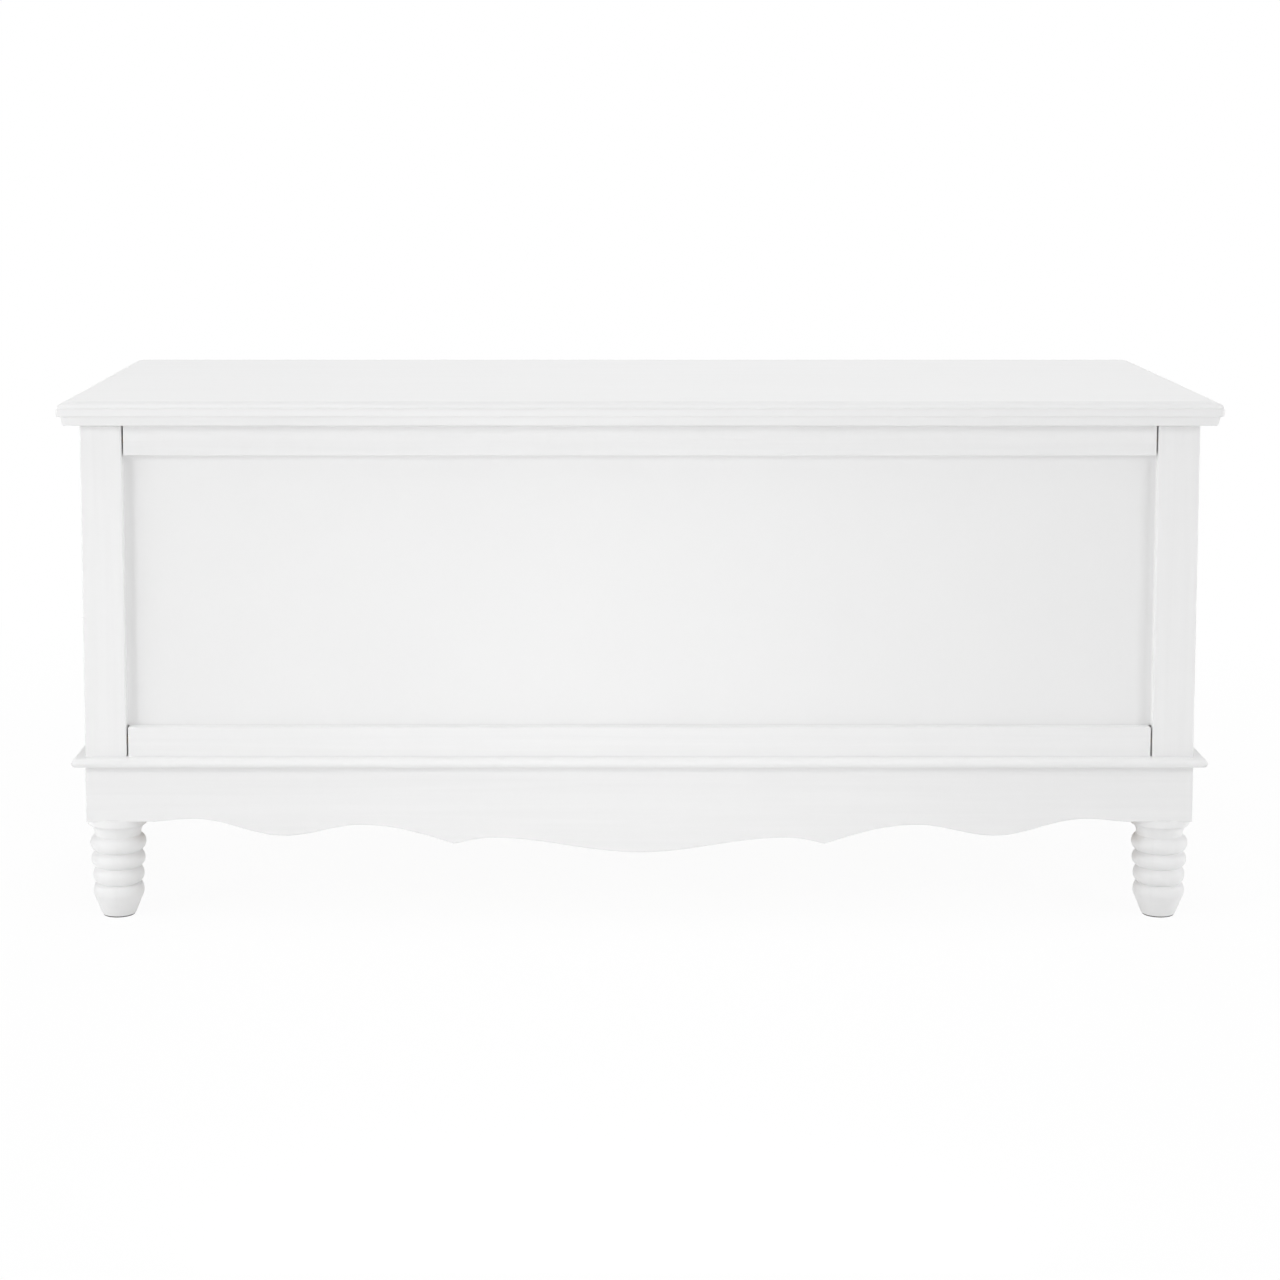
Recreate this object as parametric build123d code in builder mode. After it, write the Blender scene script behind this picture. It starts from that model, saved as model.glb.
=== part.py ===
from build123d import *
import math
import os

# Painted wooden toy box: a chest with a moulded lid, recessed panels, a scalloped apron and turned legs.
# The lid swings on two butt hinges, and two slotted stays hold it where it is left.
# X runs along the length, the front faces -Y, Z is up from the floor. All sizes are in millimetres.

# Lid
lid_length = 1000.0
lid_depth = 419.0
lid_overhang = 17.0
lid_gap = 1.0
lid_opening = 95.0
board_thickness = 12.2
round_width = 7.5
round_height = 4.5
quirk_width = 1.5
quirk_height = 1.0
strip_thickness = 8.3
strip_width = 80.0
strip_inset = 3.0
strip_slope = 2.0
cleat_spacing = 400.0
cleat_width = 60.0
cleat_thickness = 15.0
cleat_gap = 0.5

# Walls
body_height = 290.5
rail_height = 26.0
rail_thickness = 22.0
rail_end_gap = 1.5
panel_thickness = 9.0
panel_gap = 0.3
panel_recess = 9.0
field_gap = 0.4
rebate_depth = 4.5
rebate_corner = 0.5
post_round = 1.2
dowel_radius = 4.0
dowel_in_post = 10.0
dowel_in_rail = 18.5
bumper_radius = 5.0
bumper_seat = 2.0
bumper_clearance = 0.2

# Floor and base
floor_thickness = 6.0
floor_gap = 0.5
moulding_thickness = 8.0
moulding_projection = 10.5
moulding_ledge = 50.0
bearer_spacing = 300.0
bearer_width = 40.0
bearer_depth = 18.0
apron_thickness = 12.0
apron_height = 50.0
block_size = 50.0

# Scallop under the apron: distances from the corner of the body, and drops below the tops of the legs
straight_run = 52.0
arch_run = 93.0
arch_rise = 2.7
lobe_run = 173.0
lobe_drop = 12.3
crest_run = 240.0
crest_drop = 2.7
cusp_run = 321.4
cusp_drop = 19.7
peak_run = 354.4
peak_drop = 14.1
centre_drop = 27.1
side_drop = 20.0

# Turned legs, from the foot up
leg_inset = 23.5
foot_base_radius = 15.0
foot_taper_height = 15.5
foot_taper_radius = 21.3
foot_radius = 22.3
foot_swell_height = 4.0
foot_height = 26.6
groove_radii = (18.7, 19.3, 19.6, 20.1)
bead_radii = (22.5, 23.7, 24.3)
bead_heights = (14.2, 13.7, 15.8)
cove_height = 9.7
collar_radius = 26.0
collar_height = 6.5
glide_radius = 14.0
glide_thickness = 2.0
nail_radius = 1.2
nail_length = 12.0
bolt_radius = 3.0
bolt_in_leg = 30.0
bolt_in_block = 30.0
insert_radius = 5.0
insert_length = 16.0

# Butt hinges
hinge_inset = 170.0
hinge_length = 70.0
leaf_width = 19.6
leaf_thickness = 2.0
leaf_gap = 0.5
leaf_setback = 0.4
leaf_play = 0.2
knuckle_radius = 3.5
knuckle_count = 5
knuckle_gap = 0.3
hinge_offset = 4.0
pin_radius = 1.5
pin_play = 0.05
pin_head_radius = 2.6
pin_head_length = 1.0
pin_end_gap = 0.2
hinge_screw_spacing = 25.0

# Lid stays: the lid pivot and the box stud are equally far from the hinge axis
stay_reach = 140.0
pivot_drop = 14.0
stud_drop = 70.0
arm_width = 16.0
arm_thickness = 2.5
arm_standoff = 5.0
arm_clearance = 0.3
slot_clearance = 0.4
stud_radius = 3.0
stud_collar_radius = 6.0
stud_length = 14.0
plate_width = 26.0
plate_height = 58.0
plate_thickness = 2.0
plate_corner = 5.0
plate_screw_spacing = 40.0
knob_radius = 9.0
knob_length = 10.0
knob_round = 1.5
bracket_thickness = 2.0
bracket_tab_radius = 8.0
bracket_flange_width = 22.0
bracket_length = 44.0
bracket_screw_spacing = 28.0
pivot_radius = 2.5
pivot_head_radius = 5.0
pivot_head_thickness = 1.0

# Fasteners
fit = 0.05
screw_radius = 1.6
screw_head_radius = 3.2
screw_tip = 2.5
plate_screw_length = 8.5
hinge_screw_length = 16.0
cleat_screw_length = 23.0
cleat_screw_inset = 37.5
post_screw_radius = 2.5
post_screw_head_radius = 4.0
post_screw_bite = 30.0
post_screw_edge = 0.5
recess_width = 0.9
recess_depth = 1.0
recess_share = 1.2

# Derived sizes
body_length = lid_length - 2 * lid_overhang
body_depth = lid_depth - lid_overhang
wall_thickness = rail_thickness + panel_thickness
rebate_line = wall_thickness + rebate_corner
post_size = rebate_line + rebate_depth
leg_height = foot_height + sum(bead_heights) + cove_height + collar_height
nose_height = board_thickness - round_height - quirk_height
strip_inner = strip_inset + strip_width
bumper_stand = lid_gap - bumper_clearance
post_screw_inset = apron_thickness + post_screw_head_radius + post_screw_edge
knuckle_length = (hinge_length - (knuckle_count - 1) * knuckle_gap) / knuckle_count

# Derived places: the origin is under the middle of the whole object, hinge barrels included
overall_depth = lid_depth + hinge_offset + knuckle_radius
lid_front = -overall_depth / 2
body_front = lid_front + lid_overhang
body_back = lid_front + lid_depth
body_middle = (body_front + body_back) / 2
leg_top = glide_thickness + leg_height
apron_top = leg_top + apron_height
moulding_top = apron_top + moulding_thickness
body_top = moulding_top + body_height
strip_bottom = body_top + lid_gap
board_bottom = strip_bottom + strip_thickness
hinge_y = body_back + hinge_offset
hinge_z = body_top + lid_gap / 2
hinge_x = body_length / 2 - hinge_inset
inner_x = body_length / 2 - wall_thickness
cleat_front = lid_front + strip_inner + cleat_gap
cleat_back = body_back - strip_width - cleat_gap
rail_levels = {"top": body_top - rail_height / 2, "bottom": moulding_top + rail_height / 2}

# Stay linkage: with equal reaches the arm turns half as far as the lid, and the stud slides along the slot
pivot_y = hinge_y - math.sqrt(stay_reach**2 - pivot_drop**2)
pivot_z = hinge_z - pivot_drop
stud_y = hinge_y - math.sqrt(stay_reach**2 - stud_drop**2)
stud_z = hinge_z - stud_drop
closed_angle = math.asin(stud_drop / stay_reach) - math.asin(pivot_drop / stay_reach)
open_angle = closed_angle + math.radians(lid_opening)
closed_reach = 2 * stay_reach * math.sin(closed_angle / 2)
open_reach = 2 * stay_reach * math.sin(open_angle / 2)
tab_standoff = arm_standoff + arm_thickness + slot_clearance

sides = {"left": -1, "right": 1}
corners = {"front_left": (-1, -1), "front_right": (1, -1), "back_left": (-1, 1), "back_right": (1, 1)}
from_below = (Align.CENTER, Align.CENTER, Align.MIN)

# Each wall is drawn on its outer face, with local x along the wall and local y up
walls = {
    "front": (Plane((0, body_front, 0), (1, 0, 0), (0, -1, 0)), body_length / 2),
    "back": (Plane((0, body_back, 0), (-1, 0, 0), (0, 1, 0)), body_length / 2),
    "left": (Plane((-body_length / 2, body_middle, 0), (0, -1, 0), (-1, 0, 0)), body_depth / 2),
    "right": (Plane((body_length / 2, body_middle, 0), (0, 1, 0), (1, 0, 0)), body_depth / 2),
}

# Each moulded lid edge is drawn across itself: local x inwards, local y up from the board's underside
lid_edges = {
    "front": Plane((0, lid_front, board_bottom), (0, 1, 0), (1, 0, 0)),
    "left": Plane((-lid_length / 2, 0, board_bottom), (1, 0, 0), (0, -1, 0)),
    "right": Plane((lid_length / 2, 0, board_bottom), (-1, 0, 0), (0, 1, 0)),
}

os.makedirs("parts", exist_ok=True)


def save(piece, name):
    piece.part.label = name
    export_step(piece.part, f"parts/{name}.step")


def corner_point(side, end, from_side, from_face):
    x = side * (body_length / 2 - from_side)
    y = body_middle + end * (body_depth / 2 - from_face)
    return x, y


def facing(point, direction):
    return Plane(point, z_dir=direction)


# Mouths of the dowel sockets in one post, each facing the rail it takes
def post_sockets(side, end):
    sockets = []
    for level in rail_levels.values():
        along = corner_point(side, end, post_size, rail_thickness / 2)
        across = corner_point(side, end, rail_thickness / 2, post_size)
        sockets.append(facing((*along, level), (-side, 0, 0)))
        sockets.append(facing((*across, level), (0, -end, 0)))
    return sockets


# Mouths of the screw holes, each facing the way its screw comes out
def post_screw_mouth(side, end):
    point = corner_point(side, end, post_screw_inset, post_screw_inset)
    return facing((*point, leg_top), (0, 0, -1))


def hinge_mouths(side, level):
    z = hinge_z + level * leaf_gap / 2
    y = body_back - leaf_setback - leaf_width / 2
    steps = (-hinge_screw_spacing, 0, hinge_screw_spacing)
    return [facing((side * hinge_x + step, y, z), (0, 0, -level)) for step in steps]


def plate_mouths(side):
    x = side * (inner_x - plate_thickness)
    steps = (-plate_screw_spacing / 2, plate_screw_spacing / 2)
    return [facing((x, stud_y, stud_z + step), (-side, 0, 0)) for step in steps]


def bracket_mouths(side):
    x = side * (inner_x - tab_standoff - (bracket_thickness + bracket_flange_width) / 2)
    steps = (-bracket_screw_spacing / 2, bracket_screw_spacing / 2)
    return [facing((x, pivot_y + step, strip_bottom - bracket_thickness), (0, 0, -1)) for step in steps]


def cleat_mouths(side):
    x = side * cleat_spacing / 2
    z = board_bottom - cleat_thickness
    places = (cleat_front + cleat_screw_inset, (cleat_front + cleat_back) / 2, cleat_back - cleat_screw_inset)
    return [facing((x, y, z), (0, 0, -1)) for y in places]


corner_list = list(corners.values())
post_screw_mouths = [post_screw_mouth(side, end) for side, end in corner_list]
leg_points = [corner_point(side, end, leg_inset, leg_inset) for side, end in corner_list]
box_hinge_mouths = hinge_mouths(-1, -1) + hinge_mouths(1, -1)
lid_hinge_mouths = hinge_mouths(-1, 1) + hinge_mouths(1, 1)
all_plate_mouths = plate_mouths(-1) + plate_mouths(1)
all_bracket_mouths = bracket_mouths(-1) + bracket_mouths(1)
all_cleat_mouths = cleat_mouths(-1) + cleat_mouths(1)

# Corner posts, rebated inside for the panels
post_outline = [
    (0, 0),
    (post_size, 0),
    (post_size, rail_thickness),
    (rebate_line, rail_thickness),
    (rebate_line, rebate_line),
    (rail_thickness, rebate_line),
    (rail_thickness, post_size),
    (0, post_size),
]
for corner, (side, end) in corners.items():
    outline = [corner_point(side, end, *point) for point in post_outline]
    shown_corners = [outline[0], outline[1], outline[-1]]
    with BuildPart() as post:
        with BuildSketch(Plane.XY.offset(moulding_top)) as section:
            with BuildLine():
                Polyline(*outline, close=True)
            make_face()
            fillet([section.vertices().sort_by_distance(point)[0] for point in shown_corners], post_round)
        extrude(amount=body_height)
        with Locations(*post_sockets(side, end)):
            Hole(dowel_radius + fit, dowel_in_post + fit)
        with Locations(post_screw_mouth(side, end)):
            Hole(post_screw_radius + fit, apron_height + moulding_thickness + post_screw_bite + fit)
        with Locations((*corner_point(side, end, rebate_line / 2, rebate_line / 2), body_top)):
            Hole(bumper_radius + fit, bumper_seat)
    save(post, f"{corner}_post")

# Rails, doweled into the posts with a small open gap at each end
for wall, (plane, half) in walls.items():
    rail_half = half - post_size - rail_end_gap
    for place, level in rail_levels.items():
        ends = []
        for direction in (-1, 1):
            end_point = plane.from_local_coords(Vector(direction * rail_half, level, -rail_thickness / 2))
            ends.append(facing(end_point, plane.x_dir * direction))
        with BuildPart() as rail:
            with BuildSketch(plane):
                with Locations((0, level)):
                    Rectangle(2 * rail_half, rail_height)
            extrude(amount=-rail_thickness)
            with Locations(*ends):
                Hole(dowel_radius + fit, dowel_in_rail + fit)
            if wall == "back" and place == "top":
                # beds for the hinge leaves, open to the back
                with BuildSketch(Plane.XY.offset(hinge_z - leaf_gap / 2 - leaf_thickness)):
                    with Locations((-hinge_x, body_back), (hinge_x, body_back)):
                        Rectangle(hinge_length + 2 * leaf_play, 2 * (leaf_setback + leaf_width + leaf_play))
                extrude(amount=leaf_thickness + leaf_gap, mode=Mode.SUBTRACT)
                with Locations(*box_hinge_mouths):
                    Hole(screw_radius + fit, hinge_screw_length + fit)
        save(rail, f"{wall}_{place}_rail")

# Wall panels, behind the rails and in the rebates of the posts, with a raised field between the rails
for wall, (plane, half) in walls.items():
    with BuildPart() as panel:
        with BuildSketch(plane.offset(-rail_thickness)):
            with Locations((0, moulding_top + body_height / 2)):
                Rectangle(2 * (half - rebate_line - panel_gap), body_height)
        extrude(amount=-panel_thickness)
        with BuildSketch(plane.offset(-rail_thickness)):
            with Locations((0, moulding_top + body_height / 2)):
                Rectangle(2 * (half - post_size - field_gap), body_height - 2 * (rail_height + field_gap))
        extrude(amount=rail_thickness - panel_recess)
        if wall in sides:
            with Locations(*plate_mouths(sides[wall])):
                Hole(screw_radius + fit, plate_screw_length + fit)
    save(panel, f"{wall}_panel")

# Dowels between rails and posts
with BuildPart() as dowels:
    for side, end in corner_list:
        for socket in post_sockets(side, end):
            with Locations(socket.offset(-dowel_in_post)):
                Cylinder(dowel_radius, dowel_in_post + rail_end_gap + dowel_in_rail, align=from_below)
save(dowels, "rail_dowels")

# Soft bumpers let into the tops of the posts
with BuildPart() as bumpers:
    for side, end in corner_list:
        with Locations((*corner_point(side, end, rebate_line / 2, rebate_line / 2), body_top - bumper_seat)):
            Cylinder(bumper_radius, bumper_seat + bumper_stand, align=from_below)
save(bumpers, "lid_bumpers")

# Floor panel, lying on the moulding's ledge and the bearers
with BuildPart() as floor_panel:
    with BuildSketch(Plane.XY.offset(moulding_top)):
        with Locations((0, body_middle)):
            Rectangle(2 * (inner_x - floor_gap), body_depth - 2 * (wall_thickness + floor_gap))
    extrude(amount=floor_thickness)
save(floor_panel, "floor_panel")

# Floor bearers, notched under the moulding and ending on the aprons
with BuildPart() as bearers:
    for x in (-bearer_spacing / 2, bearer_spacing / 2):
        with BuildSketch(Plane.YZ.offset(x)):
            with BuildLine():
                Polyline(
                    (body_front + apron_thickness, apron_top - bearer_depth),
                    (body_back - apron_thickness, apron_top - bearer_depth),
                    (body_back - apron_thickness, apron_top),
                    (body_back - moulding_ledge, apron_top),
                    (body_back - moulding_ledge, moulding_top),
                    (body_front + moulding_ledge, moulding_top),
                    (body_front + moulding_ledge, apron_top),
                    (body_front + apron_thickness, apron_top),
                    close=True,
                )
            make_face()
        extrude(amount=bearer_width / 2, both=True)
save(bearers, "floor_bearers")

# Base moulding: bullnose strips, mitred at the front corners, with a plain strip between them at the back
moulding_half = body_length / 2 + moulding_projection
moulding_front = body_front - moulding_projection
ledge_half = body_length / 2 - moulding_ledge
ledge_front = body_front + moulding_ledge
moulding_middle = apron_top + moulding_thickness / 2
nose_run = moulding_projection + moulding_ledge + moulding_thickness
with BuildPart() as front_moulding:
    with BuildSketch(Plane.XY.offset(apron_top)):
        with BuildLine():
            Polyline(
                (-moulding_half, moulding_front),
                (moulding_half, moulding_front),
                (ledge_half, ledge_front),
                (-ledge_half, ledge_front),
                close=True,
            )
        make_face()
    extrude(amount=moulding_thickness)
    with BuildSketch(Plane.YZ):
        with Locations((moulding_front + nose_run / 2, moulding_middle)):
            SlotOverall(nose_run, moulding_thickness)
    extrude(amount=moulding_half, both=True, mode=Mode.INTERSECT)
    with Locations(*post_screw_mouths):
        Hole(post_screw_radius + fit, apron_height + moulding_thickness + post_screw_bite + fit)
save(front_moulding, "front_moulding")

for wall, side in sides.items():
    with BuildPart() as side_moulding:
        with BuildSketch(Plane.XY.offset(apron_top)):
            with BuildLine():
                Polyline(
                    (side * moulding_half, moulding_front),
                    (side * ledge_half, ledge_front),
                    (side * ledge_half, body_back),
                    (side * moulding_half, body_back),
                    close=True,
                )
            make_face()
        extrude(amount=moulding_thickness)
        with BuildSketch(Plane.XZ.offset(-body_middle)):
            with Locations((side * (moulding_half - nose_run / 2), moulding_middle)):
                SlotOverall(nose_run, moulding_thickness)
        extrude(amount=lid_depth, both=True, mode=Mode.INTERSECT)
        with Locations(*post_screw_mouths):
            Hole(post_screw_radius + fit, apron_height + moulding_thickness + post_screw_bite + fit)
    save(side_moulding, f"{wall}_moulding")

with BuildPart() as back_moulding:
    with BuildSketch(Plane.XY.offset(apron_top)):
        with Locations((0, body_back - moulding_ledge / 2)):
            Rectangle(2 * ledge_half, moulding_ledge)
    extrude(amount=moulding_thickness)
save(back_moulding, "back_moulding")

# Front apron, with a scalloped lower edge that is the same on both halves
front_plane, front_half = walls["front"]
with BuildPart() as front_apron:
    with BuildSketch(front_plane):
        with BuildLine():
            cusp = (front_half - cusp_run, leg_top - cusp_drop)
            Spline(
                (0, leg_top - centre_drop),
                (front_half - peak_run, leg_top - peak_drop),
                cusp,
                tangents=((1, 0), (3, -1)),
            )
            Spline(
                cusp,
                (front_half - crest_run, leg_top - crest_drop),
                (front_half - lobe_run, leg_top - lobe_drop),
                (front_half - arch_run, leg_top + arch_rise),
                (front_half - straight_run, leg_top),
                tangents=((3, 1), (1, 0)),
            )
            Polyline(
                (front_half - straight_run, leg_top),
                (front_half, leg_top),
                (front_half, apron_top),
                (0, apron_top),
            )
            mirror(about=Plane.YZ)
        make_face()
    extrude(amount=-apron_thickness)
save(front_apron, "front_apron")

# Side aprons, with one lobe, from the front apron to the back of the body
for wall, side in sides.items():
    side_plane, side_half = walls[wall]
    front_end = -side * (side_half - apron_thickness)
    back_end = side * side_half
    shoulder = side_half - straight_run
    arch = side_half - arch_run
    with BuildPart() as side_apron:
        with BuildSketch(side_plane):
            with BuildLine():
                Spline(
                    (-shoulder, leg_top),
                    (-arch, leg_top + arch_rise),
                    (0, leg_top - side_drop),
                    (arch, leg_top + arch_rise),
                    (shoulder, leg_top),
                    tangents=((1, 0), (1, 0)),
                )
                Polyline(
                    (side * shoulder, leg_top),
                    (back_end, leg_top),
                    (back_end, apron_top),
                    (front_end, apron_top),
                    (front_end, leg_top),
                    (-side * shoulder, leg_top),
                )
            make_face()
        extrude(amount=-apron_thickness)
    save(side_apron, f"{wall}_apron")

# Plain back apron between the side aprons
back_plane, back_half = walls["back"]
with BuildPart() as back_apron:
    with BuildSketch(back_plane):
        with Locations((0, leg_top + apron_height / 2)):
            Rectangle(2 * (back_half - apron_thickness), apron_height)
    extrude(amount=-apron_thickness)
save(back_apron, "back_apron")

# Corner blocks over the legs, bored for the leg inserts and the post screws
with BuildPart() as corner_blocks:
    for side, end in corner_list:
        middle = apron_thickness + block_size / 2
        with BuildSketch(Plane.XY.offset(leg_top)):
            with Locations(corner_point(side, end, middle, middle)):
                Rectangle(block_size, block_size)
        extrude(amount=apron_height)
    with Locations(*[facing((*point, leg_top), (0, 0, -1)) for point in leg_points]):
        Hole(insert_radius + fit, insert_length + fit)
        Hole(bolt_radius + fit, bolt_in_block + fit)
    with Locations(*post_screw_mouths):
        CounterSinkHole(post_screw_radius + fit, post_screw_head_radius + fit, counter_sink_angle=90)
save(corner_blocks, "corner_blocks")

# Turned legs
for corner, (side, end) in corners.items():
    x, y = corner_point(side, end, leg_inset, leg_inset)
    with BuildPart() as leg:
        with BuildSketch(Plane((x, y, glide_thickness), (1, 0, 0), (0, -1, 0))):
            with BuildLine():
                foot_taper = (foot_taper_radius, foot_taper_height)
                Polyline((0, 0), (foot_base_radius, 0), foot_taper)
                height = foot_height
                swell = (foot_radius, foot_taper_height + foot_swell_height)
                ThreePointArc(foot_taper, swell, (groove_radii[0], height))
                for index, bead_height in enumerate(bead_heights):
                    lower = (groove_radii[index], height)
                    crown = (bead_radii[index], height + bead_height / 2)
                    height += bead_height
                    ThreePointArc(lower, crown, (groove_radii[index + 1], height))
                rim = (collar_radius, height + cove_height)
                TangentArc((groove_radii[-1], height), rim, tangent=(0, 1))
                Polyline(rim, (collar_radius, leg_height), (0, leg_height), (0, 0))
            make_face()
        revolve(axis=Axis((x, y, 0), (0, 0, 1)))
        with Locations((x, y, leg_top)):
            Hole(bolt_radius + fit, bolt_in_leg + fit)
        with Locations(facing((x, y, glide_thickness), (0, 0, -1))):
            Hole(nail_radius + fit, nail_length + fit)
    save(leg, f"{corner}_leg")

# Leg bolts, insert nuts and nail-on glides
with BuildPart() as leg_bolts:
    with Locations(*[(*point, leg_top - bolt_in_leg) for point in leg_points]):
        Cylinder(bolt_radius, bolt_in_leg + bolt_in_block, align=from_below)
save(leg_bolts, "leg_hanger_bolts")

with BuildPart() as leg_inserts:
    with Locations(*[(*point, leg_top) for point in leg_points]):
        Cylinder(insert_radius, insert_length, align=from_below)
        Cylinder(bolt_radius + fit, insert_length, align=from_below, mode=Mode.SUBTRACT)
save(leg_inserts, "leg_insert_nuts")

with BuildPart() as foot_glides:
    with Locations(*[(*point, 0) for point in leg_points]):
        Cylinder(glide_radius, glide_thickness, align=from_below)
        Cylinder(nail_radius, glide_thickness + nail_length, align=from_below)
save(foot_glides, "foot_glides")

# Lid board, with a round-over and a small quirk cut along the front and the sides
with BuildPart() as lid_board:
    with BuildSketch(Plane.XY.offset(board_bottom)):
        with Locations((0, (lid_front + body_back) / 2)):
            Rectangle(lid_length, lid_depth)
    extrude(amount=board_thickness)
    for edge_plane in lid_edges.values():
        with BuildSketch(edge_plane):
            with BuildLine():
                EllipticalCenterArc((round_width, nose_height), round_width, round_height, 90, arc_size=90)
                Polyline(
                    (round_width, nose_height + round_height),
                    (round_width + quirk_width, nose_height + round_height),
                    (round_width + quirk_width, 2 * board_thickness),
                    (-round_width, 2 * board_thickness),
                    (-round_width, nose_height),
                    (0, nose_height),
                )
            make_face()
        extrude(amount=lid_length, both=True, mode=Mode.SUBTRACT)
    with Locations(*lid_hinge_mouths):
        Hole(screw_radius + fit, hinge_screw_length + fit)
    with Locations(*all_cleat_mouths):
        Hole(screw_radius + fit, cleat_screw_length + fit)
save(lid_board, "lid_board")

# Strips under the lid's edge: mitred at the front, with a sloping outer edge
lid_half = lid_length / 2
strip_plans = {
    "front": [
        (-lid_half, lid_front),
        (lid_half, lid_front),
        (lid_half - strip_inner, lid_front + strip_inner),
        (strip_inner - lid_half, lid_front + strip_inner),
    ],
}
for wall, side in sides.items():
    strip_plans[wall] = [
        (side * lid_half, lid_front),
        (side * (lid_half - strip_inner), lid_front + strip_inner),
        (side * (lid_half - strip_inner), body_back),
        (side * lid_half, body_back),
    ]
for wall, plan in strip_plans.items():
    with BuildPart() as strip:
        with BuildSketch(Plane.XY.offset(strip_bottom)):
            with BuildLine():
                Polyline(*plan, close=True)
            make_face()
        extrude(amount=strip_thickness)
        with BuildSketch(lid_edges[wall]):
            with BuildLine():
                Polyline(
                    (strip_inset, 0),
                    (strip_inset + strip_slope, -strip_thickness),
                    (strip_inner, -strip_thickness),
                    (strip_inner, 0),
                    close=True,
                )
            make_face()
        extrude(amount=lid_length, both=True, mode=Mode.INTERSECT)
        if wall in sides:
            with Locations(*bracket_mouths(sides[wall])):
                Hole(screw_radius + fit, plate_screw_length + fit)
    save(strip, f"lid_{wall}_strip")

with BuildPart() as back_strip:
    with BuildSketch(Plane.XY.offset(strip_bottom)):
        with Locations((0, body_back - strip_width / 2)):
            Rectangle(2 * (lid_half - strip_inner), strip_width)
    extrude(amount=strip_thickness)
    with BuildSketch(Plane.XY.offset(hinge_z)):
        with Locations((-hinge_x, body_back), (hinge_x, body_back)):
            Rectangle(hinge_length + 2 * leaf_play, 2 * (leaf_setback + leaf_width + leaf_play))
    extrude(amount=leaf_gap / 2 + leaf_thickness, mode=Mode.SUBTRACT)
    with Locations(*lid_hinge_mouths):
        Hole(screw_radius + fit, hinge_screw_length + fit)
save(back_strip, "lid_back_strip")

# Cleats across the underside of the lid
with BuildPart() as cleats:
    for side in sides.values():
        with BuildSketch(Plane.XY.offset(board_bottom)):
            with Locations((side * cleat_spacing / 2, (cleat_front + cleat_back) / 2)):
                Rectangle(cleat_width, cleat_back - cleat_front)
        extrude(amount=-cleat_thickness)
    with Locations(*all_cleat_mouths):
        CounterSinkHole(screw_radius + fit, screw_head_radius + fit, counter_sink_angle=90)
save(cleats, "lid_cleats")


# Hinge leaf with its own share of the knuckles: level is -1 under the axis and 1 over it
def hinge_leaf(name, side, level, first_knuckle):
    near_face = hinge_z + level * leaf_gap / 2
    leaf_back = body_back - leaf_setback
    pitch = knuckle_length + knuckle_gap
    first_x = side * hinge_x - (hinge_length - knuckle_length) / 2
    knuckles = [first_x + pitch * index for index in range(first_knuckle, knuckle_count, 2)]
    with BuildPart() as leaf:
        with BuildSketch(Plane.XY.offset(near_face)):
            with Locations((side * hinge_x, leaf_back - leaf_width / 2)):
                Rectangle(hinge_length, leaf_width)
            with Locations(*[(x, (leaf_back + hinge_y) / 2) for x in knuckles]):
                Rectangle(knuckle_length, hinge_y - leaf_back)
        extrude(amount=level * leaf_thickness)
        with Locations(*[facing((x, hinge_y, hinge_z), (1, 0, 0)) for x in knuckles]):
            Cylinder(knuckle_radius, knuckle_length)
            Cylinder(pin_radius + pin_play, knuckle_length, mode=Mode.SUBTRACT)
        with Locations(*hinge_mouths(side, level)):
            CounterSinkHole(screw_radius + fit, screw_head_radius + fit, counter_sink_angle=90)
    save(leaf, name)


for wall, side in sides.items():
    hinge_leaf(f"{wall}_hinge_box_leaf", side, -1, 0)
    hinge_leaf(f"{wall}_hinge_lid_leaf", side, 1, 1)

with BuildPart() as hinge_pins:
    for side in sides.values():
        half_pin = hinge_length / 2 + pin_end_gap
        with Locations(facing((side * hinge_x, hinge_y, hinge_z), (1, 0, 0))):
            Cylinder(pin_radius, 2 * half_pin)
        for direction in (-1, 1):
            pin_end = (side * hinge_x + direction * half_pin, hinge_y, hinge_z)
            with Locations(facing(pin_end, (direction, 0, 0))):
                Cylinder(pin_head_radius, pin_head_length, align=from_below)
save(hinge_pins, "hinge_pins")

# Stay arms, each slotted for its stud
for wall, side in sides.items():
    arm_run = open_reach + slot_clearance
    slot_start = closed_reach - slot_clearance
    arm_plane = Plane(
        (side * (inner_x - arm_standoff), pivot_y, pivot_z),
        (0, stud_y - pivot_y, stud_z - pivot_z),
        (-side, 0, 0),
    )
    with BuildPart() as stay_arm:
        with BuildSketch(arm_plane):
            with Locations((arm_run / 2, 0)):
                SlotCenterToCenter(arm_run, arm_width)
            Circle(pivot_radius + fit, mode=Mode.SUBTRACT)
            with Locations(((slot_start + arm_run) / 2, 0)):
                slot_width = 2 * (stud_radius + slot_clearance)
                SlotCenterToCenter(arm_run - slot_start, slot_width, mode=Mode.SUBTRACT)
        extrude(amount=arm_thickness)
    save(stay_arm, f"{wall}_stay_arm")

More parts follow.
